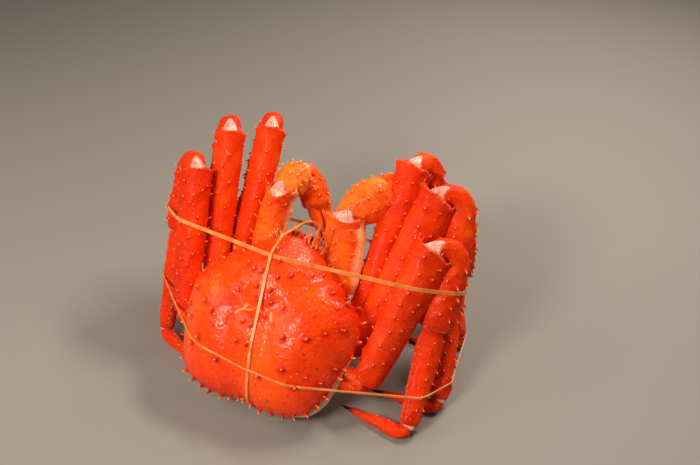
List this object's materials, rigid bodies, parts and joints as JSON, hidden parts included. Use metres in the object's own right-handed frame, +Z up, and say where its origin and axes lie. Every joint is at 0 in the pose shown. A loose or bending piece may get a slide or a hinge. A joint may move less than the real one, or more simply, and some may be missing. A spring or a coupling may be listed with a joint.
{
  "type": "boiled red king crab",
  "caption": "Life-size boiled red king crab, shell spiny and domed, legs folded up and held by rubber bands, resting on its tail flap and leg tips.",
  "frame": {"origin": "on the floor, at the middle of the box round the crab", "axes": "+Y is the way the crab faces, +X its right-hand side, +Z up"},
  "size_m": [0.3777, 0.2978, 0.2359],
  "materials": {
    "shell": "wet boiled shell, orange-red, with dark red spine bases and cream tips",
    "limb": "wet boiled leg shell, orange-red above, cream at the joints and undersides",
    "underside": "pale cream and orange under-shell",
    "eye": "dark shiny eye on a short stalk",
    "feeler": "jointed orange feeler",
    "membrane": "pink-white skin in the joints",
    "band": "thin amber rubber band, slightly clear"
  },
  "bodies": {
    "root": {"band_front": "band", "band_lengthwise": "band", "band_rear": "band", "carapace": "shell", "left_antenna": "feeler", "left_claw_carpus": "limb", "left_claw_finger": "limb", "left_claw_ischium": "limb", "left_claw_merus": "limb", "left_claw_palm": "limb", "left_eye": "eye", "left_leg2_carpus": "limb", "left_leg2_dactylus": "limb", "left_leg2_ischium": "limb", "left_leg2_merus": "limb", "left_leg2_propodus": "limb", "left_leg3_carpus": "limb", "left_leg3_dactylus": "limb", "left_leg3_ischium": "limb", "left_leg3_merus": "limb", "left_leg3_propodus": "limb", "left_leg4_carpus": "limb", "left_leg4_dactylus": "limb", "left_leg4_ischium": "limb", "left_leg4_merus": "limb", "left_leg4_propodus": "limb", "left_mouth_leg": "limb", "right_antenna": "feeler", "right_claw_carpus": "limb", "right_claw_finger": "limb", "right_claw_ischium": "limb", "right_claw_merus": "limb", "right_claw_palm": "limb", "right_eye": "eye", "right_leg2_carpus": "limb", "right_leg2_dactylus": "limb", "right_leg2_ischium": "limb", "right_leg2_merus": "limb", "right_leg2_propodus": "limb", "right_leg3_carpus": "limb", "right_leg3_dactylus": "limb", "right_leg3_ischium": "limb", "right_leg3_merus": "limb", "right_leg3_propodus": "limb", "right_leg4_carpus": "limb", "right_leg4_dactylus": "limb", "right_leg4_ischium": "limb", "right_leg4_merus": "limb", "right_leg4_propodus": "limb", "right_mouth_leg": "limb", "tail_flap": "underside", "thorax": "underside"}
  },
  "joints": []
}
